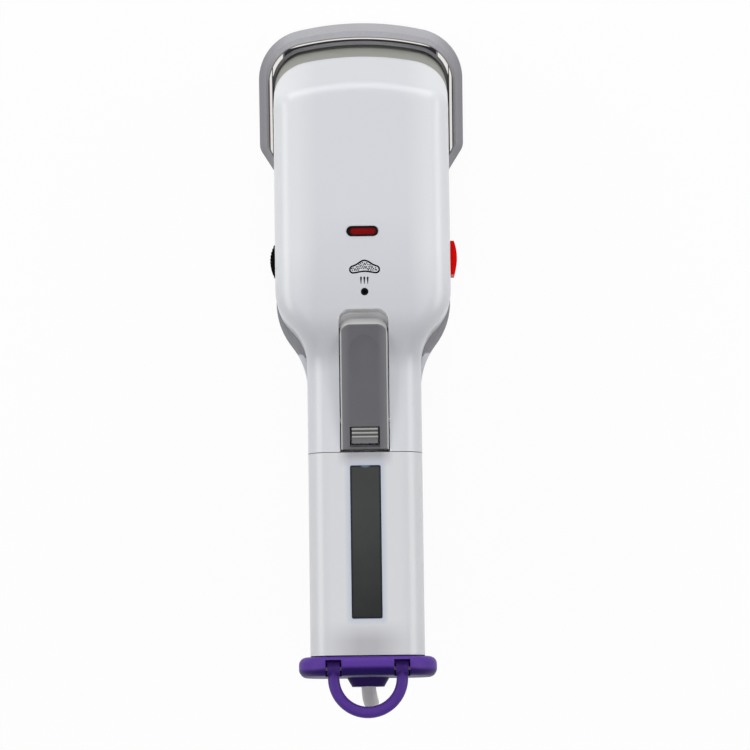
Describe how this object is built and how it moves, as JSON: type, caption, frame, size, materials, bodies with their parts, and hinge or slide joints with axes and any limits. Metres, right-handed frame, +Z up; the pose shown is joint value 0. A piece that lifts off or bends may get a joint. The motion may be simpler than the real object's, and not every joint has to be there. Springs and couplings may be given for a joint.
{
  "type": "garment steamer",
  "caption": "Hand-held garment steamer with a wide bevelled head, sprung trigger, lift-off water tank, hanging loop and a mains cord tied in a hank.",
  "frame": {"origin": "centre of the footprint on the surface that the soleplate rests on, without the cord", "axes": "+Y along the handle towards the head's nose, +Z up, away from the soleplate, +X to the side of the power rocker"},
  "size_m": [0.0944, 0.3128, 0.1086],
  "materials": {
    "shell_white": "satin white moulded plastic",
    "tank_white": "satin white, slightly translucent moulded plastic",
    "window_smoke": "smoked transparent plastic",
    "bezel_grey": "matt silver grey",
    "trim_chrome": "polished chrome",
    "plate_steel": "fine brushed steel",
    "boiler_metal": "as cast",
    "heater_metal": "dark oxidised tube",
    "rubber_dark": "matt black rubber",
    "screw_steel": "plated steel",
    "skirt_grey": "matt warm grey heat-resistant plastic",
    "grip_grey": "soft matt grey",
    "trigger_grey": "fine textured dark grey plastic",
    "lens_red": "clear red plastic",
    "inner_plastic": "plain moulded plastic",
    "tube_silicone": "translucent silicone",
    "spring_steel": "drawn wire",
    "flange_purple": "satin purple plastic",
    "gland_purple": "dark purple, soft",
    "pin_metal": "plain steel",
    "rocker_red": "satin red plastic",
    "black_plastic": "plain black plastic",
    "cord_grey": "matt grey flexible sheath",
    "brass_pin": "bright brass",
    "wire_black": "insulated wire"
  },
  "bodies": {
    "housing": {"rear_shell": "shell_white", "front_shell": "shell_white", "side_grip_left": "grip_grey", "side_grip_right": "grip_grey", "head_skirt": "skirt_grey", "soleplate_bezel": "bezel_grey", "chrome_trim": "trim_chrome", "soleplate": "plate_steel", "heating_element": "heater_metal", "boiler_block": "boiler_metal", "boiler_gasket": "rubber_dark", "boiler_cover": "boiler_metal", "boiler_screws": "screw_steel", "thermostat": "screw_steel", "thermal_fuse": "brass_pin", "fuse_clip": "screw_steel", "lamp_lens": "lens_red", "lamp_holder": "inner_plastic", "signal_lamp": "brass_pin", "trigger_pin": "pin_metal", "pump_body": "inner_plastic", "pump_spring": "spring_steel", "suction_tube": "tube_silicone", "feed_tube": "tube_silicone", "tank_socket": "inner_plastic", "saddle_deck": "inner_plastic", "end_flange": "flange_purple", "loop_pins": "pin_metal", "cord_gland": "gland_purple", "rocker_housing": "black_plastic", "dial_spindle": "pin_metal", "steam_control": "inner_plastic", "housing_screws": "screw_steel", "terminal_block": "inner_plastic", "supply_leads": "wire_black", "cord_clamp": "inner_plastic", "cord_hank": "cord_grey", "cord_tube": "cord_grey", "cord_tail": "cord_grey", "cord_tie": "black_plastic", "plug_body": "black_plastic", "plug_blades": "brass_pin"},
    "trigger": {"trigger_lever": "trigger_grey"},
    "trigger_lock": {"trigger_lock": "trigger_grey"},
    "plunger": {"pump_plunger": "inner_plastic"},
    "tank": {"tank_shell": "tank_white", "tank_window": "window_smoke", "tank_base": "tank_white", "tank_valve": "inner_plastic", "valve_seal": "rubber_dark", "filler_plug": "rubber_dark"},
    "loop": {"hanging_loop": "flange_purple"},
    "rocker": {"power_rocker": "rocker_red"},
    "dial": {"steam_dial": "black_plastic"}
  },
  "joints": [
    {"name": "trigger_press", "type": "hinge", "parent": "housing", "child": "trigger", "pos_m": [0, -0.02285, 0.07907], "axis": [-1, 0, 0], "range_deg": [0, 6], "stiffness_Nm_per_rad": 1.2, "springref_deg": -6.88},
    {"name": "lock_slide", "type": "slide", "parent": "trigger", "child": "trigger_lock", "axis": [0, -0.9952, 0.0976], "range_m": [0, 0.001]},
    {"name": "plunger_stroke", "type": "slide", "parent": "housing", "child": "plunger", "axis": [0, -0.2079, -0.9781], "range_m": [0, 0.0027], "deforming": ["pump_spring"]},
    {"name": "tank_lift", "type": "slide", "parent": "housing", "child": "tank", "axis": [0, 0.2079, 0.9781], "range_m": [0, 0.06]},
    {"name": "loop_swing", "type": "hinge", "parent": "housing", "child": "loop", "pos_m": [0, -0.13156, 0.10101], "axis": [-1, 0, 0], "range_deg": [0, 90]},
    {"name": "rocker_tilt", "type": "hinge", "parent": "housing", "child": "rocker", "pos_m": [0.0353, 0.04739, 0.05602], "axis": [0, 0.2079, 0.9781], "range_deg": [0, 6]},
    {"name": "dial_turn", "type": "hinge", "parent": "housing", "child": "dial", "pos_m": [-0.0269, 0.0472, 0.05606], "axis": [0, 0.2079, 0.9781], "range_deg": [0, 270]}
  ],
  "couplings": [
    {"joint": "plunger_stroke", "follows": "trigger_press", "m_per_rad": 0.0255}
  ]
}
